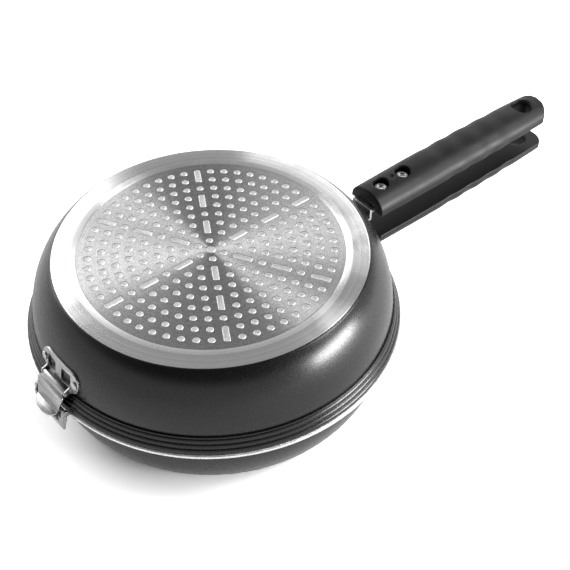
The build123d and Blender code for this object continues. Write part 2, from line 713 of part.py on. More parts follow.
with BuildPart() as hinge_hook:
    tab_tip_x = hook_waist_x - tab_reach
    tab_tip_z = hook_waist_z - tab_drop
    clear_of_lugs_x = axle_x - axle_lug_radius - lug_gap
    with BuildSketch(Plane.XZ) as hook_side:
        with BuildLine() as hook_line:
            FilletPolyline((axle_x, axle_z + hook_eye_radius - hook_sheet / 2),
                           (hook_shoulder_x, hook_shoulder_z), (hook_waist_x, hook_waist_z),
                           (tab_tip_x, tab_tip_z), radius=hook_sheet)
        trace(hook_line.line, line_width=hook_sheet)
        with Locations((axle_x, axle_z)):
            Circle(hook_eye_radius)
            Circle(axle_radius + axle_fit, mode=Mode.SUBTRACT)
    extrude(hook_side.sketch, amount=cheek_inner, both=True)
    with BuildSketch(Plane.YZ.offset(tab_tip_x - hook_sheet)) as hook_front:
        with BuildLine():
            Polyline((hook_eye_half_width, axle_z + hook_eye_radius),
                     (hook_eye_half_width, axle_z),
                     (hook_shoulder_half_width, hook_shoulder_z),
                     (hook_waist_half_width, hook_waist_z),
                     (hook_waist_half_width, tab_tip_z - hook_sheet),
                     (-hook_waist_half_width, tab_tip_z - hook_sheet),
                     (-hook_waist_half_width, hook_waist_z),
                     (-hook_shoulder_half_width, hook_shoulder_z),
                     (-hook_eye_half_width, axle_z),
                     (-hook_eye_half_width, axle_z + hook_eye_radius), close=True)
        make_face()
        fillet(hook_front.vertices().group_by(Axis.X)[0] + hook_front.vertices().group_by(Axis.X)[-1],
               hook_shoulder_round)
    extrude(hook_front.sketch, amount=-2 * tab_tip_x, mode=Mode.INTERSECT)
    with BuildSketch(Plane.XY.offset(tab_tip_z - hook_sheet)) as hook_plan:
        with Locations((hook_waist_x / 2, 0)):
            Rectangle(-hook_waist_x, 2 * hook_eye_half_width)
        with Locations(((hook_waist_x + clear_of_lugs_x) / 2, 0)):
            Rectangle(clear_of_lugs_x - hook_waist_x, 2 * cheek_inner)
        with Locations((hook_waist_x, 0)):
            Ellipse(tab_reach, hook_waist_half_width)
    extrude(hook_plan.sketch, amount=total_height, mode=Mode.INTERSECT)
hinge_hook.part.label = "hinge_hook"
export_step(hinge_hook.part, "parts/hinge_hook.step")
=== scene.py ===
from math import acos, asin, cos, pi, radians, sin, sqrt, tau

import bmesh
import bpy
from bpy.props import FloatProperty, FloatVectorProperty, IntProperty, PointerProperty
from mathutils import Matrix, Vector


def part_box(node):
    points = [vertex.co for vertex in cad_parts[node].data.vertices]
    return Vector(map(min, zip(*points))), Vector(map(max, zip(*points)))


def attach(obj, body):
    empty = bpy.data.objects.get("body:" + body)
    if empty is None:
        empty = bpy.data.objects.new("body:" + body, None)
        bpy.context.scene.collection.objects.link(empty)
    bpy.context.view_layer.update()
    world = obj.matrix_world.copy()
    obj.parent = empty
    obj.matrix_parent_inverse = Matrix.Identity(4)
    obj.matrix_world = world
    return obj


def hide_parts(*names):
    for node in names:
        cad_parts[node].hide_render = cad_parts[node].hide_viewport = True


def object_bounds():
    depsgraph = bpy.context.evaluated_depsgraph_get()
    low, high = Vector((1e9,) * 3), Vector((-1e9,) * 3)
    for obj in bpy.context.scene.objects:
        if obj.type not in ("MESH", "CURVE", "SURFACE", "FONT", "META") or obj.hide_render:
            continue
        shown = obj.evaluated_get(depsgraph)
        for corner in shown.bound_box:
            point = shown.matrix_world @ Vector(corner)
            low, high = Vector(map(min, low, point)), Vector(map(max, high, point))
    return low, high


bl_info = {
    "name": "Double Sided Flip Pan",
    "version": (1, 0, 0),
    "blender": (4, 5, 0),
    "location": "3D View > Sidebar > Flip Pan",
    "description": "Dresses the two hinged pans with their bases, handles, brackets and hinge",
    "category": "Add Mesh",
}

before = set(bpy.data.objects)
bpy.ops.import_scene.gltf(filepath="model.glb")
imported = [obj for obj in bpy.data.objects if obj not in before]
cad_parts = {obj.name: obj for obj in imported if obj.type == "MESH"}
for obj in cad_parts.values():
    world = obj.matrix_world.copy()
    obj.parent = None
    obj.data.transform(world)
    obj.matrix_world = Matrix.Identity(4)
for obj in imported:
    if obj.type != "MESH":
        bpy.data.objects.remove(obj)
CAD_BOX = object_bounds()
TOTAL_HEIGHT = CAD_BOX[1].z - CAD_BOX[0].z
LOWER_BODY = "lower_pan_body"
UPPER_BODY = "upper_pan_body"
HOOK_BODY = "hinge_hook_body"
MM = 0.001


# ---- settings a user would change ----

def length(name, description, default, **limits):
    return FloatProperty(name=name, description=description, default=default, unit="LENGTH",
                         precision=5, **limits)


def colour(name, description, default):
    return FloatVectorProperty(name=name, description=description, default=default, size=3,
                               subtype="COLOR", min=0.0, max=1.0)


def power(name, description, default):
    return FloatProperty(name=name, description=description, default=default, min=0.0,
                         subtype="POWER", unit="POWER")


def level(name, description, default):
    return FloatProperty(name=name, description=description, default=default, min=0.0)


class FlipPanSizes(bpy.types.PropertyGroup):
    """Sizes of the pans, bases and handles."""
    base_radius: length("Base radius", "Outer radius of the turned base ring", 0.100)
    base_fillet: length("Base edge", "Rounding between the base ring and the wall", 0.0012)
    lower_height: length("Lower height", "Lower base to lower rim", 0.0465)
    upper_height: length("Upper height", "Upper base to upper rim", 0.0522)
    wall: length("Wall", "Thickness of the side wall", 0.003)
    floor: length("Floor", "Thickness of the cooking floor", 0.005)
    floor_fillet: length("Floor corner", "Rounding between the cooking floor and the wall", 0.006)
    bulge_centre: length("Bulge centre", "Radius of the centre of the wall's curve", 0.086)
    lower_wall_radius: length("Lower wall", "Widest radius of the lower wall", 0.1155)
    lower_wall_height: length("Lower wall height", "Where the lower wall is upright", 0.0395)
    upper_wall_radius: length("Upper wall", "Widest radius of the upper wall", 0.1165)
    upper_wall_height: length("Upper wall height", "Where the upper wall is upright", 0.0445)
    lip_radius: length("Lip radius", "Outer radius of the lower pan's lip", 0.1224)
    lip_thickness: length("Lip thickness", "Upright edge of the lower lip", 0.0019)
    spigot_radius: length("Spigot radius", "Outer radius of the locating bead", 0.118)
    spigot_width: length("Spigot width", "Width of the locating bead", 0.0019)
    spigot_height: length("Spigot height", "Height of the locating bead", 0.0017)
    skirt_inner_radius: length("Skirt inside", "Inner radius of the upper skirt", 0.1184)
    skirt_ledge: length("Skirt ledge", "Width of the ledge where the skirt begins", 0.0011)
    skirt_bottom_radius: length("Skirt foot", "Outer radius at the foot of the skirt", 0.1215)
    skirt_height: length("Skirt height", "Height of the ribbed skirt", 0.0114)
    rib_count: IntProperty(name="Ribs", description="Ribs round the skirt", default=3, min=1)
    rib_rise: length("Rib rise", "How far each rib stands out", 0.0005)
    ring_inner_radius: length("Ring inside", "Inner radius of the turned base ring", 0.089)
    disc_radius: length("Disc radius", "Radius of the steel disc in the base", 0.0845)
    disc_recess: length("Disc recess", "Disc face above the base ring", 0.0006)
    ring_pitch: length("Ring pitch", "Distance between the rings of dots", 0.00859)
    dot_radius: length("Dot radius", "Radius of the dots in the disc", 0.0025)
    centre_dot_radius: length("Centre dot", "Radius of the middle dot", 0.0033)
    dash_length: length("Dash length", "Length of the radial dashes", 0.013)
    dash_width: length("Dash width", "Width of the radial dashes", 0.0045)
    grip_start: length("Grip start", "Where the grips begin, from the pan axis", 0.134)
    grip_length: length("Grip length", "Length of each grip", 0.174)
    grip_half_width: length("Grip half width", "Half the width of a grip", 0.0157)
    grip_depth: length("Grip depth", "Depth of a grip from its flat face", 0.014)
    grip_side: length("Grip side", "Upright side below the rounded back", 0.002)
    grip_swell: length("Grip swell", "Extra width and depth at mid length", 0.0007)
    tip_radius: length("Tip corners", "Rounding of the grip's tip, seen from above", 0.013)
    tip_shrink: length("Tip shrink", "How much narrower and thinner the tip is", 0.0012)
    scallop_depth: length("Finger scallops", "Depth of the shallow finger scallops", 0.0006)
    scallop_pitch: length("Scallop pitch", "Distance between the finger scallops", 0.020)
    first_scallop: length("First scallop", "Grip start to the first scallop", 0.070)
    scallop_count: IntProperty(name="Scallops", description="Finger scallops", default=4, min=0)
    hang_hole_radius: length("Hanging hole", "Radius of the hanging hole", 0.0072)
    hang_hole_inset: length("Hole inset", "Hanging hole to the grip's tip", 0.017)
    first_screw: length("First screw", "Grip start to the first screw", 0.013)
    screw_spacing: length("Screw spacing", "Distance between the grip's screws", 0.0205)
    well_radius: length("Screw wells", "Radius of the wells over the screws", 0.0059)
    screw_seat: length("Screw seat", "Seat of the screw heads above the flat face", 0.0084)
    tongue_length: length("Tongue pocket", "Depth of the pocket for the bracket's tongue", 0.0443)
    tongue_width: length("Tongue width", "Width of the pocket for the bracket's tongue", 0.0183)
    tongue_low: length("Tongue height", "Flat face to the near side of the pocket", 0.00145)
    tongue_high: length("Tongue top", "Flat face to the far side of the pocket", 0.00375)


class FlipPanFinishes(bpy.types.PropertyGroup):
    """Base colours of the finishes."""
    enamel: colour("Enamel", "Satin enamel outside the pans", (0.0030, 0.0030, 0.0032))
    fleck: colour("Fleck", "Pale fleck in the enamel", (0.030, 0.030, 0.031))
    coating: colour("Coating", "Coating on the cooking side", (0.012, 0.012, 0.0125))
    turned: colour("Turned aluminium", "Bare turned base ring", (0.86, 0.86, 0.865))
    # The step's colour is a lighter copy of the turned aluminium's: a painted highlight on the
    # slope.
    step: colour("Turned step", "Slope between the disc and the base ring", (0.92, 0.92, 0.92))
    rim: colour("Bare rim", "Trimmed aluminium edge of the lip", (0.90, 0.90, 0.90))
    disc: colour("Disc steel", "Spun steel of the base discs", (0.43, 0.43, 0.435))
    stud: colour("Stud aluminium", "Aluminium that fills the disc's holes", (0.62, 0.62, 0.62))
    # The stud edge's colour is a lighter copy of the stud aluminium: a painted highlight on each
    # raised edge.
    stud_edge: colour("Stud edge", "Raised edge round each stud", (0.84, 0.84, 0.84))
    sheet: colour("Sheet steel", "Folded steel of the hinge and brackets", (0.52, 0.52, 0.525))
    plated: colour("Plated steel", "Plated screws", (0.38, 0.38, 0.39))
    resin: colour("Grip resin", "Moulded grips", (0.0032, 0.0032, 0.0034))


class FlipPanStage(bpy.types.PropertyGroup):
    """Floor, lamps and camera."""
    floor_colour: colour("Floor", "Colour of the floor", (0.86, 0.86, 0.86))
    floor_size: length("Floor size", "Half the width of the floor", 8.0)
    # The glow close round the pan is lower than clear of it: a painted shadow round the pan.
    painted_shadow_glow: level("Floor glow", "Light the floor shows round the pan", 0.07)
    open_glow: level("Open floor glow", "Light the floor shows clear of the pan", 0.24)
    far_glow: level("Far floor glow", "Light the floor shows away from the lamps", 0.90)
    mirrored_lift: level("Mirrored floor", "Share of the floor's lift that metal mirrors", 0.20)
    mirrored_glow: level("Mirrored glow", "Light of the floor that metal mirrors", 0.18)
    left_box: power("Left box", "Power of the soft box behind on the left", 12.0)
    right_box: power("Right box", "Power of the soft box behind on the right", 3.1)
    upper_box: power("Upper box", "Power of the soft box above on the right", 16.0)
    side_strip: power("Side strip", "Power of the long lamp on the right", 66.0)
    horizon_level: level("Horizon behind", "Brightness of the room at the floor's far edge", 1.0)
    near_horizon: level("Near horizon", "Brightness of the room at the floor's near edge", 0.10)
    back_level: level("Room behind", "Brightness of the upper room behind the pan", 0.395)
    front_level: level("Room in front", "Brightness of the upper room before the pan", 0.07)
    backdrop_top: level("Backdrop top", "Sine of the height up to which metal mirrors white", 0.24)
    lens: FloatProperty(name="Lens", description="Focal length on a 36 mm sensor", default=74.2,
                        min=1.0, subtype="DISTANCE_CAMERA", unit="CAMERA")


def sizes():
    return bpy.context.scene.flip_pan_sizes


def finishes():
    return bpy.context.scene.flip_pan_finishes


def stage_settings():
    return bpy.context.scene.flip_pan_stage


# ---- materials ----

class Nodes:
    """Short calls for the nodes of one tree."""

    def __init__(self, tree):
        self.tree = tree

    def add(self, kind, **values):
        node = self.tree.nodes.new("ShaderNode" + kind)
        self.set(node, **values)
        return node

    def fed(self, kind, values, **options):
        """A node whose first inputs take the values in turn."""
        node = self.add(kind, **options)
        for socket, value in zip(node.inputs, values):
            self.wire(value, socket)
        return node

    def set(self, node, **values):
        """Set inputs by name, or the node's own options where no input has that name."""
        for key, value in values.items():
            socket = node.inputs.get(key.replace("_", " "))
            if socket is None:
                setattr(node, key, value)
            else:
                self.wire(value, socket)

    def wire(self, value, socket):
        if isinstance(value, bpy.types.NodeSocket):
            self.tree.links.new(value, socket)
        elif socket.type == "RGBA":
            socket.default_value = (*value, 1.0)
        else:
            socket.default_value = value

    def math(self, operation, first, second):
        return self.fed("Math", (first, second), operation=operation).outputs[0]

    def vector(self, operation, *values):
        node = self.fed("VectorMath", values, operation=operation)
        return node.outputs["Value" if operation in ("LENGTH", "DOT_PRODUCT") else "Vector"]

    def span(self, value, low, high, to_low, to_high):
        """A smooth step from to_low, where value is low, to to_high, where it is high."""
        return self.fed("MapRange", (value, low, high, to_low, to_high),
                        interpolation_type="SMOOTHSTEP").outputs["Result"]

    def mix(self, factor, first, second):
        node = self.add("Mix", data_type="RGBA")
        for index, value in ((0, factor), (6, first), (7, second)):
            self.wire(value, node.inputs[index])
        return node.outputs[2]

    def mirrored(self, path):
        """1 for a ray that metal or glass sends on, else 0."""
        return self.math("MAXIMUM", path["Is Glossy Ray"], path["Is Transmission Ray"])


class Finish(Nodes):
    """A node material under construction, in object coordinates."""

    def __init__(self, name, **shader):
        self.material = bpy.data.materials.new(name)
        self.material.use_nodes = True
        super().__init__(self.material.node_tree)
        self.shader = self.tree.nodes["Principled BSDF"]
        self.set(self.shader, **shader)
        self.object = self.add("TexCoord").outputs["Object"]

    def noise(self, scale, detail=2.0, roughness=0.5, vector=None):
        return self.add("TexNoise", Scale=scale, Detail=detail, Roughness=roughness,
                        Vector=vector or self.object).outputs["Fac"]

    def varied(self, noise, low, high):
        """The usual range of a noise, spread from low to high."""
        return self.span(noise, 0.3, 0.7, low, high)

    def specks(self, scale, size):
        """Scattered specks: 1 inside a speck and 0 between them."""
        node = self.add("TexVoronoi", feature="F1", Scale=scale, Randomness=1.0,
                        Vector=self.object)
        core = size * 0.4
        return self.span(node.outputs["Distance"], size, core, 0.0, 1.0)

    def outwards(self):
        """From the pan's axis to the point, level."""
        return self.vector("MULTIPLY", self.object, (1.0, 1.0, 0.0))

    def radius(self):
        """Distance from the pan's axis."""
        return self.vector("LENGTH", self.outwards())

    def across_grooves(self):
        """Direction from the pan's axis outwards, across the turning marks."""
        turned = self.add("VectorTransform", vector_type="VECTOR", convert_from="OBJECT",
                          convert_to="WORLD", Vector=self.outwards())
        return self.vector("NORMALIZE", turned.outputs["Vector"])

    def rings(self):
        """Coordinates that only change with the radius and height, for turned grooves."""
        split = self.add("SeparateXYZ", Vector=self.object)
        return self.add("CombineXYZ", X=self.radius(), Z=split.outputs["Z"]).outputs["Vector"]

    def bump(self, height, strength, distance):
        node = self.add("Bump", Strength=strength, Distance=distance, Height=height)
        self.set(self.shader, Normal=node.outputs["Normal"])


def scaled(base, share):
    """The colour made darker or lighter."""
    return tuple(min(1.0, channel * share) for channel in base)


def satin_enamel(name, base, fleck, roughness):
    """Sprayed enamel: a near-black satin with a fine fleck and a faint orange peel."""
    finish = Finish(name, Specular_IOR_Level=0.40)
    spread = 0.03
    fleck_share = finish.math("MULTIPLY", finish.specks(scale=3200.0, size=0.3), 0.4)
    cloud = finish.varied(finish.noise(38.0, detail=3.0), 0.0, 0.03)
    tint = finish.mix(cloud, base, fleck)
    finish.set(finish.shader, Base_Color=finish.mix(fleck_share, tint, fleck),
               Roughness=finish.varied(finish.noise(900.0, detail=3.0), roughness - spread,
                                       roughness + spread))
    finish.bump(finish.noise(2400.0), strength=0.10, distance=0.06 * MM)
    return finish.material


def turned_metal(name, base, roughness, streak):
    """Bare metal turned on a lathe: fine grooves round the axis and faint radial shading."""
    finish = Finish(name, Metallic=1.0, Anisotropic=0.95)
    rings = finish.rings()
    fine = finish.noise(2600.0, detail=4.0, roughness=0.7, vector=rings)
    broad = finish.noise(260.0, vector=rings)
    smudge = finish.noise(45.0, detail=3.0)
    shade = finish.math("ADD", finish.math("MULTIPLY", fine, streak),
                        finish.math("MULTIPLY", broad, streak * 0.6))
    lit = finish.span(shade, streak * 0.5, streak * 1.2, 0.0, 1.0)
    finish.set(finish.shader, Base_Color=finish.mix(lit, scaled(base, 0.72), base),
               Roughness=finish.varied(smudge, roughness - 0.04, roughness + 0.05),
               Tangent=finish.across_grooves())
    finish.bump(fine, strength=0.05, distance=0.04 * MM)
    return finish.material


def spun_steel(name, base):
    """Steel disc with a granular etched face over spun marks."""
    finish = Finish(name, Metallic=1.0, Anisotropic=0.92)
    grain = finish.noise(2200.0, detail=3.0, roughness=0.7)
    rings = finish.noise(3000.0, detail=3.0, roughness=0.6, vector=finish.rings())
    grain_share = 0.75
    mottle = finish.math("ADD", finish.math("MULTIPLY", grain, grain_share),
                         finish.math("MULTIPLY", rings, 1.0 - grain_share))
    finish.set(finish.shader,
               Base_Color=finish.mix(finish.span(mottle, 0.35, 0.65, 0.0, 1.0),
                                     scaled(base, 0.5), scaled(base, 1.4)),
               Roughness=finish.varied(grain, 0.34, 0.43), Tangent=finish.across_grooves())
    finish.bump(mottle, strength=0.3, distance=0.06 * MM)
    return finish.material


def brushed_sheet(name, base, along):
    """Sheet metal with brush lines drawn out one way, scuffed a little rougher in places."""
    finish = Finish(name, Metallic=1.0)
    lines = finish.noise(900.0, detail=4.0, roughness=0.65,
                         vector=finish.vector("MULTIPLY", finish.object, along))
    scuffs = finish.noise(170.0, detail=4.0, roughness=0.6)
    finish.set(finish.shader,
               Base_Color=finish.mix(finish.varied(lines, 0.0, 1.0), scaled(base, 0.55), base),
               Roughness=finish.varied(scuffs, 0.24, 0.40))
    finish.bump(lines, strength=0.2, distance=0.04 * MM)
    return finish.material


def plated_metal(name, base, roughness):
    """Plated or cast small fasteners, studs and rims, faintly pitted."""
    finish = Finish(name, Metallic=1.0)
    pits = finish.noise(1400.0, detail=3.0)
    finish.set(finish.shader,
               Base_Color=finish.mix(finish.span(pits, 0.35, 0.6, 0.0, 1.0), scaled(base, 0.7),
                                     base),
               Roughness=finish.varied(finish.noise(400.0), roughness - 0.04, roughness + 0.08))
    finish.bump(pits, strength=0.15, distance=0.05 * MM)
    return finish.material


def moulded_resin(name, base):
    """Black moulded grip with a fine eroded texture, rubbed a little smoother in places."""
    finish = Finish(name, Specular_IOR_Level=0.25)
    rubbed = finish.noise(60.0, detail=3.0)
    finish.set(finish.shader,
               Base_Color=finish.mix(finish.span(rubbed, 0.35, 0.7, 0.0, 0.6), base,
                                     scaled(base, 1.7)),
               Roughness=finish.varied(rubbed, 0.51, 0.44))
    finish.bump(finish.noise(2600.0, detail=3.0, roughness=0.6), strength=0.22,
                distance=0.06 * MM)
    return finish.material


# ---- mesh helpers ----

def make_piece(name, bm, materials, body, nodes=(), crease=34.0):
    """Turn a bmesh into a piece that rides on a body, smooth but for edges sharper than crease."""
    mesh = bpy.data.meshes.new(name)
    bm.to_mesh(mesh)
    bm.free()
    for material in materials:
        mesh.materials.append(material)
    mesh.shade_smooth()
    mesh.set_sharp_from_angle(angle=radians(crease))
    piece = bpy.data.objects.new(name, mesh)
    bpy.context.scene.collection.objects.link(piece)
    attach(piece, body)
    if nodes:
        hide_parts(*nodes)


class Outline:
    """A chain of vertices in the XZ plane, drawn point by point, with arcs swept by spin."""

    def __init__(self, bm):
        self.bm = bm
        self.chain = []

    def join(self, vertices):
        for vertex in vertices:
            if self.chain:
                self.bm.edges.new((self.chain[-1], vertex))
            self.chain.append(vertex)
        return vertices

    def point(self, x, z):
        return self.join([self.bm.verts.new((x, 0.0, z))])[0]

    def arc(self, centre, half_width, half_height, start, sweep, steps):
        """Elliptic arc about centre, from the start angle through sweep, in radians."""
        first = self.bm.verts.new((cos(start), 0.0, sin(start)))
        bmesh.ops.spin(self.bm, geom=[first], cent=(0, 0, 0), axis=(0, -1, 0), angle=sweep,
                       steps=steps)
        swept = [first]
        while True:
            onward = [edge.other_vert(swept[-1]) for edge in swept[-1].link_edges]
            onward = [vertex for vertex in onward if vertex not in swept]
            if not onward:
                break
            swept.append(onward[0])
        bmesh.ops.scale(self.bm, verts=swept, vec=(half_width, 1.0, half_height))
        bmesh.ops.translate(self.bm, verts=swept, vec=(centre[0], 0.0, centre[1]))
        if self.chain:
            self.bm.edges.new((self.chain[-1], swept[0]))
        self.chain.extend(swept)
        return swept

    def round(self, vertices, offset, segments=3):
        """Round the corners at the vertices of the drawn chain."""
        bmesh.ops.bevel(self.bm, geom=vertices, offset=offset, offset_type="OFFSET",
                        affect="VERTICES", segments=segments, profile=0.5, material=-1)


def turn(bm, angle, axis, verts=None):
    """Turn the vertices, or all of them, about an axis through the origin."""
    bmesh.ops.rotate(bm, verts=verts or bm.verts, cent=(0, 0, 0),
                     matrix=Matrix.Rotation(angle, 3, axis))


def move(bm, vec, verts=None):
    bmesh.ops.translate(bm, verts=verts or bm.verts, vec=vec)


def sharp_edges(bm, angle):
    """Edges where the surface turns by more than the angle, in degrees."""
    return [edge for edge in bm.edges
            if edge.is_manifold and edge.calc_face_angle(0.0) > radians(angle)]


def bevel_edges(bm, edges, offset, segments=2):
    bmesh.ops.bevel(bm, geom=edges, offset=offset, offset_type="OFFSET", affect="EDGES",
                    segments=segments, profile=0.5, material=-1, clamp_overlap=True)


def softened_copy(node, offset):
    """A merged copy of a CAD node with its hard edges eased, as sheet and screws have them."""
    hard, flat = 35.0, 0.6
    bm = bmesh.new()
    bm.from_mesh(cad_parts[node].data)
    bmesh.ops.remove_doubles(bm, verts=bm.verts, dist=0.01 * MM)
    bmesh.ops.dissolve_limit(bm, angle_limit=radians(flat), verts=bm.verts, edges=bm.edges,
                             use_dissolve_boundaries=False)
    bevel_edges(bm, sharp_edges(bm, hard), offset)
    bmesh.ops.recalc_face_normals(bm, faces=bm.faces)
    return bm


# ---- pans ----

# The last index is the turned step, whose lighter colour is a painted highlight.
ENAMEL, TURNED, COATING, RIM, STEP_HIGHLIGHT = range(5)
SPIN_STEPS = 288
OUTSIDE_STEPS = 26
INSIDE_STEPS = 22
# Places across one rib, each with the share of the rib's full rise it has there.
RIB_PROFILE = ((0.12, 0.55), (0.3, 0.92), (0.5, 1.0), (0.7, 0.92), (0.88, 0.55))


class PanWall:
    """The elliptic outside of a pan's wall, from its base ring to where it stands upright."""

    def __init__(self, wall_radius, wall_height):
        size = sizes()
        self.centre = (size.bulge_centre, wall_height)
        self.half_width = wall_radius - size.bulge_centre
        self.foot_angle = acos((size.base_radius - size.bulge_centre) / self.half_width)
        self.half_height = wall_height / sin(self.foot_angle)

    def angle_at(self, height, inset=0.0):
        share = (self.centre[1] - height) / (self.half_height - inset)
        return asin(max(-1.0, min(1.0, share)))

    def radius_at(self, height, inset=0.0):
        return self.centre[0] + (self.half_width - inset) * cos(self.angle_at(height, inset))


def draw_underside(outline, wall, reach):
    """Base from the axis outwards: pocket, turned step, ring and the outer wall up to reach."""
    size = sizes()
    pocket = 2 * size.disc_recess
    pocket_radius = size.disc_radius + 0.1 * MM
    outline.point(0.0, pocket)
    outline.point(pocket_radius, pocket)
    steps = [outline.point(pocket_radius, size.disc_recess),
             outline.point(size.ring_inner_radius, 0.0)]
    foot = outline.arc(wall.centre, wall.half_width, wall.half_height, -wall.foot_angle,
                       wall.foot_angle - wall.angle_at(reach), OUTSIDE_STEPS)
    outline.round([foot[0]], size.base_fillet, segments=5)
    outline.round(steps, 0.25 * MM)


def draw_inside(outline, wall):
    """Inner wall from where it stands upright down to the floor and across to the axis."""
    size = sizes()
    low = wall.angle_at(size.floor, size.wall)
    inner = outline.arc(wall.centre, wall.half_width - size.wall, wall.half_height - size.wall,
                        0.0, -low, INSIDE_STEPS)
    outline.point(0.0, size.floor)
    outline.round([inner[-1]], size.floor_fillet, segments=8)


def spin_shell(bm):
    """Turn the drawn outline round the Z axis into a closed shell."""
    bmesh.ops.spin(bm, geom=bm.verts[:] + bm.edges[:], cent=(0, 0, 0), axis=(0, 0, 1),
                   angle=tau, steps=SPIN_STEPS, use_merge=True, use_duplicate=False)
    bmesh.ops.remove_doubles(bm, verts=bm.verts, dist=0.001 * MM)
    bmesh.ops.recalc_face_normals(bm, faces=bm.faces)


def paint_shell(bm, wall, rim_height, rim_inner):
    """Give each face its finish: enamel, turned base ring, cooking coating, bare rim or step."""
    size = sizes()
    base_top = 2.1 * size.disc_recess
    base_edge = size.base_radius - 0.2 * MM
    for face in bm.faces:
        middle = face.calc_center_median()
        radius = sqrt(middle.x ** 2 + middle.y ** 2)
        height = middle.z
        inside = radius < wall.radius_at(height) - size.wall / 2
        if height < base_top and radius < base_edge:
            # The step and the pocket take a lighter copy of the turned aluminium: a painted
            # highlight.
            face.material_index = TURNED if radius > size.ring_inner_radius else STEP_HIGHLIGHT
        elif height > rim_height and radius > rim_inner:
            face.material_index = RIM
        elif inside or height > size.lower_height and radius < rim_inner:
            face.material_index = COATING
        else:
            face.material_index = ENAMEL


def build_lower_pan(materials):
    size = sizes()
    wall = PanWall(size.lower_wall_radius, size.lower_wall_height)
    bm = bmesh.new()
    outline = Outline(bm)
    draw_underside(outline, wall, size.lower_wall_height)
    lip_foot = size.lower_height - size.lip_thickness
    chamfer = 1.0 * MM
    outline.point(size.lip_radius - chamfer, lip_foot - chamfer)
    soft = [outline.point(size.lip_radius, lip_foot),
            outline.point(size.lip_radius, size.lower_height)]
    outline.point(size.spigot_radius, size.lower_height)
    bead_top = size.lower_height + size.spigot_height
    bead_inside = size.spigot_radius - size.spigot_width
    bead = [outline.point(size.spigot_radius, bead_top), outline.point(bead_inside, bead_top)]
    outline.point(bead_inside, lip_foot)
    draw_inside(outline, wall)
    outline.round(soft, 0.35 * MM)
    outline.round(bead, 0.5 * MM)
    spin_shell(bm)
    paint_shell(bm, wall, lip_foot + 0.1 * MM, bead_inside - 0.1 * MM)
    make_piece("lower_pan_shell", bm, materials, LOWER_BODY,
               ["lower_pan"])


def build_upper_pan(materials):
    size = sizes()
    wall = PanWall(size.upper_wall_radius, size.upper_wall_height)
    bm = bmesh.new()
    outline = Outline(bm)
    skirt_start = size.upper_height - size.skirt_height
    draw_underside(outline, wall, skirt_start)
    edge = wall.radius_at(skirt_start) + size.skirt_ledge
    ledge_height, ledge_flare, groove, foot_band = 1.0 * MM, 0.2 * MM, 0.3 * MM, 1.2 * MM
    ledge = [outline.point(edge, skirt_start),
             outline.point(edge + ledge_flare, skirt_start + ledge_height)]
    top = Vector((edge - ledge_flare, skirt_start + ledge_height + groove))
    foot = Vector((size.skirt_bottom_radius, size.upper_height - foot_band))
    outline.point(*top)
    step = (foot - top) / size.rib_count
    out = Vector((step.y, -step.x)).normalized() * size.rib_rise
    ribs = []
    for rib in range(size.rib_count):
        start = top + step * rib
        for share, rise in RIB_PROFILE:
            outline.point(*(start + step * share + out * rise))
        ribs.append(outline.point(*(start + step)))
    rim = [outline.point(size.skirt_bottom_radius, size.upper_height),
           outline.point(size.skirt_inner_radius, size.upper_height)]
    outline.point(size.skirt_inner_radius, size.upper_wall_height + 4.0 * MM)
    draw_inside(outline, wall)
    outline.round(ledge, 0.22 * MM)
    outline.round(rim, 0.3 * MM)
    outline.round(ribs, 0.12 * MM, segments=2)
    spin_shell(bm)
    paint_shell(bm, wall, size.upper_height - 0.35 * MM, size.skirt_inner_radius - 0.1 * MM)
    turn(bm, pi, "X")
    move(bm, (0, 0, TOTAL_HEIGHT))
    make_piece("upper_pan_shell", bm, materials, UPPER_BODY, ["upper_pan"])


# ---- induction bases ----

# Stud tops, and their sides and raised edges, which take a lighter copy of the aluminium as a
# painted highlight.
STUD_TOP, STUD_EDGE_HIGHLIGHT = range(2)
SPOKES = 6
DOT_RINGS = 9
DASH_RINGS = (2, 5, 8)


def dot_places():
    """Places of the dots: six per ring number, the spokes left free where the dashes lie."""
    pitch = sizes().ring_pitch
    for ring in range(1, DOT_RINGS + 1):
        for index in range(SPOKES * ring):
            on_spoke = index % ring == 0
            if not on_spoke or ring % 3 == 1:
                angle = tau * index / (SPOKES * ring)
                yield Vector((ring * pitch * cos(angle), ring * pitch * sin(angle), 0.0))


def dash_places():
    """Distance from the axis and angle of each dash, which lies over its ring and the next."""
    for ring in DASH_RINGS:
        for spoke in range(SPOKES):
            yield (ring + 0.5) * sizes().ring_pitch, tau * spoke / SPOKES


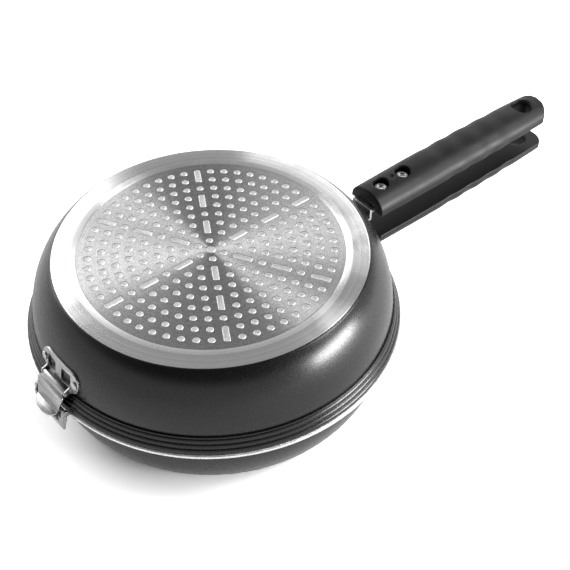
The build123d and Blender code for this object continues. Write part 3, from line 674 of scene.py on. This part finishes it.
def build_studs(name, side, materials, body):
    """The aluminium that stands in the disc's holes, each stud dished inside a raised edge."""
    size = sizes()
    clearance, proud = 0.12 * MM, 0.10 * MM
    corner, ease, edge_width, dish = 1.2 * MM, 0.28 * MM, 0.30 * MM, 0.06 * MM
    depth = size.disc_recess + proud
    bm = bmesh.new()
    for place, radius, segments in (
            [(Vector(), size.centre_dot_radius, 16)]
            + [(place, size.dot_radius, 12) for place in dot_places()]):
        bmesh.ops.create_cone(bm, cap_ends=True, segments=segments, radius1=radius - clearance,
                              radius2=radius - clearance, depth=depth,
                              matrix=Matrix.Translation(place))
    for distance, angle in dash_places():
        made = bmesh.ops.create_cube(bm, size=1.0)["verts"]
        bmesh.ops.scale(bm, verts=made, vec=(size.dash_length - 2 * clearance,
                                             size.dash_width - 2 * clearance, depth))
        upright = {edge for vertex in made for edge in vertex.link_edges
                   if abs(edge.verts[0].co.z - edge.verts[1].co.z) > depth / 2}
        corners = bmesh.ops.bevel(bm, geom=list(upright), offset=corner, affect="EDGES",
                                  segments=4, profile=0.5, material=-1)
        dash = set(corners["verts"]) | {vertex for vertex in made if vertex.is_valid}
        move(bm, (distance, 0, 0), list(dash))
        turn(bm, angle, "Z", list(dash))
    rims = [edge for edge in sharp_edges(bm, 60.0)
            if edge.verts[0].co.z > 0 and edge.verts[1].co.z > 0]
    bevel_edges(bm, rims, ease, segments=1)
    bm.normal_update()
    tops = [face for face in bm.faces if face.normal.z > 0.99]
    for face in bm.faces:
        # Sides and raised edges take the lighter edge finish: a painted highlight round each stud.
        face.material_index = STUD_EDGE_HIGHLIGHT
    bmesh.ops.inset_individual(bm, faces=tops, thickness=edge_width, depth=-dish)
    for face in tops:
        face.material_index = STUD_TOP
    top = TOTAL_HEIGHT - size.disc_recess + proud if side > 0 else size.disc_recess - proud
    if side < 0:
        turn(bm, pi, "X")
    move(bm, (0, 0, top - side * depth / 2))
    make_piece(name, bm, materials, body, crease=25.0)


# ---- grips ----

GRIP_STATIONS = 140


def grip_stations():
    """Places along a grip with their width and depth: swell, finger scallops, slimmer tip."""
    size = sizes()
    middle = size.grip_length / 2
    for index in range(GRIP_STATIONS + 1):
        x = size.grip_length * index / GRIP_STATIONS
        share = (x - middle) / middle
        edge = -size.tip_shrink if share > 0.0 else 0.0
        swell = size.grip_swell + (edge - size.grip_swell) * share ** 2
        place = (x - size.first_scallop) / size.scallop_pitch + 0.5
        scallop = 0.0
        if 0.0 < place < size.scallop_count:
            scallop = size.scallop_depth * (0.5 - 0.5 * cos(tau * place))
        yield x, size.grip_half_width + swell - scallop, size.grip_depth + swell - 0.6 * scallop


def carve(piece, plan, cutters):
    """Trim the piece to its plan, cut the solids out, then soften every edge as a mould does."""
    for index, cutter in enumerate([plan, *cutters]):
        cut = piece.modifiers.new(f"cut_{index}", "BOOLEAN")
        cut.operation = "DIFFERENCE" if index else "INTERSECT"
        cut.solver = "EXACT"
        cut.object = cutter
    remesh = piece.modifiers.new("even_mesh", "REMESH")
    remesh.mode = "VOXEL"
    remesh.voxel_size = 0.55 * MM
    remesh.adaptivity = 0.0
    relax = piece.modifiers.new("soft_edges", "SMOOTH")
    relax.factor = 0.5
    relax.iterations = 7
    bpy.context.view_layer.update()
    graph = bpy.context.evaluated_depsgraph_get()
    finished = bpy.data.meshes.new_from_object(piece.evaluated_get(graph))
    piece.modifiers.clear()
    piece.data = finished
    for cutter in (plan, *cutters):
        bpy.data.objects.remove(cutter)


def loose_object(name, bm):
    """An object that rides on nothing yet: a cutter, a grip's raw form or the floor."""
    mesh = bpy.data.meshes.new(name)
    bm.to_mesh(mesh)
    bm.free()
    made = bpy.data.objects.new(name, mesh)
    bpy.context.scene.collection.objects.link(made)
    return made


def drill(name, x, near, far, radius, far_radius=None):
    """A cutter along Z from near to far, wider at the far end where a second radius is given."""
    bm = bmesh.new()
    bmesh.ops.create_cone(bm, cap_ends=True, segments=72, radius1=radius,
                          radius2=far_radius or radius, depth=abs(far - near))
    if far < near:
        turn(bm, pi, "X")
    move(bm, (x, 0.0, (near + far) / 2))
    return loose_object(name, bm)


def block(low, high):
    """A box from its lowest to its highest corner."""
    bm = bmesh.new()
    bmesh.ops.create_cube(bm, size=1.0)
    bmesh.ops.scale(bm, verts=bm.verts, vec=high - low)
    move(bm, (low + high) / 2)
    return bm


def grip_plan(flat_z):
    """The grip seen from above: straight sides and a rounded tip, as a tall block."""
    size = sizes()
    width = size.grip_half_width + size.grip_swell
    bm = block(Vector((size.grip_start, -width, flat_z - 2 * size.grip_depth)),
               Vector((size.grip_start + size.grip_length, width, flat_z + 2 * size.grip_depth)))
    tip = [edge for edge in bm.edges
           if min(vertex.co.x for vertex in edge.verts) > size.grip_start + size.tip_radius
           and abs(edge.verts[0].co.z - edge.verts[1].co.z) > size.grip_depth]
    bevel_edges(bm, tip, size.tip_radius, segments=24)
    return loose_object("grip_plan", bm)


def draw_grip(side, flat_z):
    """The grip's uncut form: a flat face, upright sides and a rounded back, drawn out along X."""
    size = sizes()
    bm = bmesh.new()
    outline = Outline(bm)
    outline.arc((0.0, size.grip_side), size.grip_half_width, size.grip_depth - size.grip_side,
                0.0, pi, steps=36)
    outline.point(-size.grip_half_width, 0.0)
    outline.point(size.grip_half_width, 0.0)
    bm.edges.new((outline.chain[-1], outline.chain[0]))
    turn(bm, pi / 2, "Z")
    last_width, last_depth, last_x = size.grip_half_width, size.grip_depth, 0.0
    ring = bm.edges[:]
    for x, half_width, depth in grip_stations():
        if x > 0.0:
            made = bmesh.ops.extrude_edge_only(bm, edges=ring)["geom"]
            ring = [item for item in made if isinstance(item, bmesh.types.BMEdge)]
        verts = list({vertex for edge in ring for vertex in edge.verts})
        move(bm, (x - last_x, 0, 0), verts)
        bmesh.ops.scale(bm, verts=verts, vec=(1.0, half_width / last_width, depth / last_depth))
        last_x, last_width, last_depth = x, half_width, depth
    bmesh.ops.holes_fill(bm, edges=bm.edges, sides=0)
    bmesh.ops.scale(bm, verts=bm.verts, vec=(1, 1, side))
    move(bm, (size.grip_start, 0, flat_z))
    bmesh.ops.recalc_face_normals(bm, faces=bm.faces)
    return bm


def build_grip(name, node, side, material, body):
    """Moulded grip: flat inside, rounded back, finger scallops, screw wells and hanging hole."""
    size = sizes()
    low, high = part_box(node)
    flat_z = low.z if side > 0 else high.z
    deep = 1.5 * size.grip_depth
    mouth_depth, mouth_over, mouth_flare = 4.0 * MM, 1.0 * MM, 1.6 * MM
    dimple_depth, dimple_radius = 0.8 * MM, 2.2 * MM
    way_floor, way_radius = 0.75 * MM, 2.05 * MM

    def height(above_flat):
        return flat_z + side * above_flat

    first = size.grip_start + size.first_screw
    hole_x = size.grip_start + size.grip_length - size.hang_hole_inset
    cutters = [
        drill("hang_hole", hole_x, height(-deep), height(deep), size.hang_hole_radius),
        drill("hole_mouth", hole_x, height(size.grip_depth - mouth_depth),
              height(size.grip_depth + mouth_over), size.hang_hole_radius,
              size.hang_hole_radius + mouth_flare),
        drill("dimple", first + size.screw_spacing / 2, height(size.grip_depth - dimple_depth),
              height(deep), dimple_radius)]
    for index in range(2):
        x = first + index * size.screw_spacing
        for kind, low_end, radius in (("way", way_floor, way_radius),
                                      ("well", size.screw_seat, size.well_radius)):
            cutters.append(drill(f"screw_{kind}_{index}", x, height(low_end), height(deep),
                                 radius))
    levels = sorted((height(size.tongue_low), height(size.tongue_high)))
    cutters.append(loose_object("tongue_pocket", block(
        Vector((size.grip_start - size.tongue_length, -size.tongue_width / 2, levels[0])),
        Vector((size.grip_start + size.tongue_length, size.tongue_width / 2, levels[1])))))

    piece = loose_object(name, draw_grip(side, flat_z))
    carve(piece, grip_plan(flat_z), cutters)
    piece.data.materials.clear()
    piece.data.materials.append(material)
    piece.data.shade_smooth()
    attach(piece, body)
    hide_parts(node)


# ---- stage ----

CAMERA_HEADING = radians(34.5)
CAMERA_RIGHT = Vector((cos(CAMERA_HEADING), -sin(CAMERA_HEADING), 0.0))
CAMERA_AWAY = Vector((sin(CAMERA_HEADING), cos(CAMERA_HEADING), 0.0))
# Right, away and up from the pan's axis on the floor, in metres.
CAMERA_PLACE = (0.0, -0.54119, 0.60069)
CAMERA_YAW, CAMERA_PITCH, CAMERA_ROLL = radians(4.904), radians(44.717), radians(-0.15)
# Name, bearing in degrees from straight behind the pan and elevation in degrees, then the
# distance, width and height in metres.
LAMPS = (("left_box", -42.0, 27.0, 1.3, 1.25, 0.94),
         ("upper_box", 95.0, 38.0, 1.5, 0.70, 0.50),
         ("right_box", 28.0, 26.0, 1.3, 0.96, 0.46),
         ("side_strip", 110.0, 6.5, 2.0, 1.05, 0.44))
# Distances from the axis, in metres: where the pan's shadow, which the floor's lowered glow
# deepens as a painted shadow, and the lamps' light on the floor begin to end and have ended.
SHADOW_INSIDE, SHADOW_OUTSIDE = 0.104, 0.138
LIT_INSIDE, LIT_OUTSIDE = 0.6, 2.4
ROOM_BEARING = radians(-15.0)
BACKDROP_FADE = 0.16


def build_floor():
    """White paper: its lift and glow bring it to white by eye, in metal only a share of them."""
    settings = stage_settings()
    bm = bmesh.new()
    bmesh.ops.create_grid(bm, x_segments=1, y_segments=1, size=settings.floor_size)
    floor = loose_object("studio_floor", bm)
    finish = Finish("floor_paper", Roughness=0.9, Specular_IOR_Level=0.1)
    base = tuple(settings.floor_colour)
    cloud = finish.varied(finish.noise(3.0), 0.0, 1.0)
    finish.set(finish.shader, Base_Color=finish.mix(cloud, base, scaled(base, 0.985)))
    path = finish.add("LightPath").outputs
    mirrored = finish.mirrored(path)

    def seen(directly, in_metal):
        return finish.math("MAXIMUM", finish.math("MULTIPLY", path["Is Camera Ray"], directly),
                           finish.math("MULTIPLY", mirrored, in_metal))

    lift = finish.add("BsdfDiffuse", Color=finish.mix(seen(1.0, settings.mirrored_lift),
                                                      (0.0, 0.0, 0.0), base))
    # Less glow close round the pan than clear of it: a painted shadow over the real one.
    near = finish.span(finish.radius(), SHADOW_INSIDE, SHADOW_OUTSIDE, settings.painted_shadow_glow,
                       settings.open_glow)
    far = finish.math("MULTIPLY", finish.span(finish.radius(), LIT_INSIDE, LIT_OUTSIDE, 0.0, 1.0),
                      settings.far_glow)
    glow = finish.add("Emission", Color=(1.0, 1.0, 1.0), Strength=seen(
        finish.math("MAXIMUM", near, far),
        finish.math("MAXIMUM", settings.mirrored_glow, far)))
    surface = finish.shader.outputs[0]
    for extra in (lift, glow):
        surface = finish.fed("AddShader", (surface, extra.outputs[0])).outputs[0]
    finish.set(finish.tree.nodes["Material Output"], Surface=surface)
    floor.data.materials.append(finish.material)


def studio_point(right, away, up):
    """A place given from the pan's axis as the camera sees it: right, away and up, in metres."""
    return CAMERA_RIGHT * right + CAMERA_AWAY * away + Vector((0.0, 0.0, up))


def build_lamps():
    """Soft boxes round the top of the pan, each turned towards it."""
    aim = Vector((0.0, 0.0, TOTAL_HEIGHT))
    for name, bearing, elevation, distance, width, height in LAMPS:
        lamp = bpy.data.lights.new(name, "AREA")
        lamp.shape = "RECTANGLE"
        lamp.size, lamp.size_y = width, height
        lamp.energy = getattr(stage_settings(), name)
        made = bpy.data.objects.new(name, lamp)
        reach = distance * cos(radians(elevation))
        made.location = studio_point(reach * sin(radians(bearing)), reach * cos(radians(bearing)),
                                     TOTAL_HEIGHT + distance * sin(radians(elevation)))
        made.rotation_euler = (aim - made.location).to_track_quat("-Z", "Y").to_euler()
        bpy.context.scene.collection.objects.link(made)


def build_world():
    """White to the eye, and to metal up to the backdrop's top; elsewhere a softer room."""
    settings = stage_settings()
    world = bpy.data.worlds.new("studio_room")
    bpy.context.scene.world = world
    world.use_nodes = True
    nodes = Nodes(world.node_tree)
    direction = nodes.add("TexCoord").outputs["Generated"]
    behind = nodes.vector("DOT_PRODUCT", direction,
                          studio_point(sin(ROOM_BEARING), cos(ROOM_BEARING), 0.0))
    rise = nodes.add("SeparateXYZ", Vector=direction).outputs["Z"]
    # behind is the cosine of the angle from ROOM_BEARING, rise the sine of the height.
    upper = nodes.span(behind, -0.5, 0.5, settings.front_level, settings.back_level)
    edge = nodes.span(behind, 0.3, 0.95, settings.near_horizon, settings.horizon_level)
    room = nodes.span(rise, 0.05, 0.34, edge, upper)
    backdrop = nodes.span(rise, settings.backdrop_top, settings.backdrop_top + BACKDROP_FADE,
                          1.0, upper)
    path = nodes.add("LightPath").outputs
    in_metal = nodes.span(nodes.mirrored(path), 0.0, 1.0, room, backdrop)
    shown = nodes.span(path["Is Camera Ray"], 0.0, 1.0, in_metal, 1.0)
    nodes.set(nodes.tree.nodes["Background"], Color=(1.0, 1.0, 1.0), Strength=shown)


def build_camera():
    data = bpy.data.cameras.new("studio_camera")
    data.lens = stage_settings().lens
    data.sensor_width = 36.0
    data.clip_start, data.clip_end = 0.01, 20.0
    camera = bpy.data.objects.new("studio_camera", data)
    bpy.context.scene.collection.objects.link(camera)
    camera.location = studio_point(*CAMERA_PLACE)
    ahead = cos(CAMERA_PITCH)
    forward = studio_point(sin(CAMERA_YAW) * ahead, cos(CAMERA_YAW) * ahead, -sin(CAMERA_PITCH))
    upright = forward.to_track_quat("-Z", "Y")
    camera.rotation_mode = "QUATERNION"
    camera.rotation_quaternion = upright @ Matrix.Rotation(CAMERA_ROLL, 3, "Z").to_quaternion()
    bpy.context.scene.camera = camera


# ---- operators ----

def stored(name, maker, *values):
    """The named material, made on first use."""
    return bpy.data.materials.get(name) or maker(name, *values)


def plated():
    return stored("plated_steel", plated_metal, finishes().plated, 0.24)


def rivet():
    return stored("rivet_aluminium", plated_metal, finishes().stud, 0.4)


class FLIPPAN_OT_pans(bpy.types.Operator):
    """Turn both pan shells with their rims, ribs and base rings"""
    bl_idname = "flippan.pans"
    bl_label = "Pan shells"

    def execute(self, context):
        look = finishes()
        # In the order of ENAMEL, TURNED, COATING, RIM and the step with its painted highlight.
        materials = [stored("satin_enamel", satin_enamel, look.enamel, look.fleck, 0.27),
                     stored("turned_aluminium", turned_metal, look.turned, 0.24, 0.5),
                     stored("cooking_coating", satin_enamel, look.coating, look.fleck, 0.42),
                     stored("bare_rim", plated_metal, look.rim, 0.42),
                     # A lighter copy of turned_aluminium: a painted highlight on the step between
                     # disc and ring.
                     stored("turned_step", turned_metal, look.step, 0.30, 0.3)]
        build_lower_pan(materials)
        build_upper_pan(materials)
        return {"FINISHED"}


class FLIPPAN_OT_bases(bpy.types.Operator):
    """Finish the steel discs and stand the aluminium studs in their holes"""
    bl_idname = "flippan.bases"
    bl_label = "Induction bases"

    def execute(self, context):
        look = finishes()
        steel = stored("spun_steel", spun_steel, look.disc)
        # The edge finish is a lighter copy of the stud aluminium: a painted highlight on the
        # raised edges.
        stud = [stored("stud_aluminium", plated_metal, look.stud, 0.50),
                stored("stud_edge", plated_metal, look.stud_edge, 0.50)]
        for name, side, body in (("lower", -1, LOWER_BODY), ("upper", 1, UPPER_BODY)):
            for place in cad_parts[f"{name}_induction_disc"].material_slots:
                place.material = steel
            build_studs(f"{name}_disc_studs", side, stud, body)
        return {"FINISHED"}


class FLIPPAN_OT_grips(bpy.types.Operator):
    """Mould the two grips"""
    bl_idname = "flippan.grips"
    bl_label = "Grips"

    def execute(self, context):
        resin = stored("grip_resin", moulded_resin, finishes().resin)
        build_grip("upper_grip", "upper_handle", 1, resin, UPPER_BODY)
        build_grip("lower_grip", "lower_handle", -1, resin, LOWER_BODY)
        return {"FINISHED"}


class FLIPPAN_OT_brackets(bpy.types.Operator):
    """Fold the handle brackets and set their rivets and screws"""
    bl_idname = "flippan.brackets"
    bl_label = "Brackets and screws"

    def execute(self, context):
        along_x = (0.06, 1.0, 1.0)
        strip = stored("bracket_steel", brushed_sheet, finishes().sheet, along_x)
        for side, body in (("lower", LOWER_BODY), ("upper", UPPER_BODY)):
            make_piece(f"{side}_handle_bracket", softened_copy(f"{side}_bracket", 0.25 * MM),
                       [strip], body, [f"{side}_bracket"])
            make_piece(f"{side}_grip_screws", softened_copy(f"{side}_handle_screws", 0.2 * MM),
                       [plated()], body, [f"{side}_handle_screws"])
        make_piece("lower_foot_rivets", softened_copy("lower_bracket_rivets", 0.35 * MM),
                   [rivet()], LOWER_BODY, ["lower_bracket_rivets"])
        make_piece("upper_foot_screws", softened_copy("upper_bracket_screws", 0.2 * MM),
                   [plated()], UPPER_BODY, ["upper_bracket_screws"])
        return {"FINISHED"}


class FLIPPAN_OT_hinge(bpy.types.Operator):
    """Press the hinge plates, pin, axle and release hook"""
    bl_idname = "flippan.hinge"
    bl_label = "Hinge"

    def execute(self, context):
        along_y = (1.0, 0.08, 1.0)
        pressed = stored("hinge_steel", brushed_sheet, finishes().sheet, along_y)
        steel, aluminium = "sheet_steel", "aluminium_rivets"
        for name, node, body, material, slot, ease in (
                ("upper_hinge_leaf", "upper_hinge_plate", UPPER_BODY, pressed, steel, 0.2),
                ("lower_hinge_leaf", "lower_hinge_bracket", LOWER_BODY, pressed, steel, 0.2),
                ("release_hook", "hinge_hook", HOOK_BODY, pressed, steel, 0.18),
                ("hinge_rod", "hinge_pin", LOWER_BODY, plated(), steel, 0.2),
                ("hook_rod", "hook_axle", UPPER_BODY, plated(), steel, 0.15),
                ("upper_leaf_rivets", "upper_hinge_rivets", UPPER_BODY, rivet(), aluminium, 0.3),
                ("lower_leaf_rivets", "lower_hinge_rivets", LOWER_BODY, rivet(), aluminium, 0.3)):
            make_piece(name, softened_copy(node, ease * MM), [material], body, [node])
        return {"FINISHED"}


class FLIPPAN_OT_stage(bpy.types.Operator):
    """Set the floor, lamps, room and camera"""
    bl_idname = "flippan.stage"
    bl_label = "Stage"

    def execute(self, context):
        build_floor()
        build_lamps()
        build_world()
        build_camera()
        context.scene.view_settings.view_transform = "Standard"
        return {"FINISHED"}


class FLIPPAN_PT_sidebar(bpy.types.Panel):
    """Flip pan pieces and settings"""
    bl_label = "Flip Pan"
    bl_space_type = "VIEW_3D"
    bl_region_type = "UI"
    bl_category = "Flip Pan"

    def draw(self, context):
        for operator in OPERATORS:
            self.layout.operator(operator.bl_idname)
        for group in (sizes(), finishes(), stage_settings()):
            box = self.layout.box()
            for name in group.bl_rna.properties.keys():
                if name not in ("rna_type", "name"):
                    box.prop(group, name)


OPERATORS = (FLIPPAN_OT_pans, FLIPPAN_OT_bases, FLIPPAN_OT_grips, FLIPPAN_OT_brackets,
             FLIPPAN_OT_hinge, FLIPPAN_OT_stage)
GROUPS = {"flip_pan_sizes": FlipPanSizes, "flip_pan_finishes": FlipPanFinishes,
          "flip_pan_stage": FlipPanStage}
CLASSES = (*GROUPS.values(), *OPERATORS, FLIPPAN_PT_sidebar)


def register():
    for item in CLASSES:
        bpy.utils.register_class(item)
    for name, group in GROUPS.items():
        setattr(bpy.types.Scene, name, PointerProperty(type=group))


def unregister():
    for name in GROUPS:
        delattr(bpy.types.Scene, name)
    for item in reversed(CLASSES):
        bpy.utils.unregister_class(item)


def main():
    register()
    bpy.ops.flippan.pans()
    bpy.ops.flippan.bases()
    bpy.ops.flippan.grips()
    bpy.ops.flippan.brackets()
    bpy.ops.flippan.hinge()
    bpy.ops.flippan.stage()


if __name__ == "__main__":
    main()
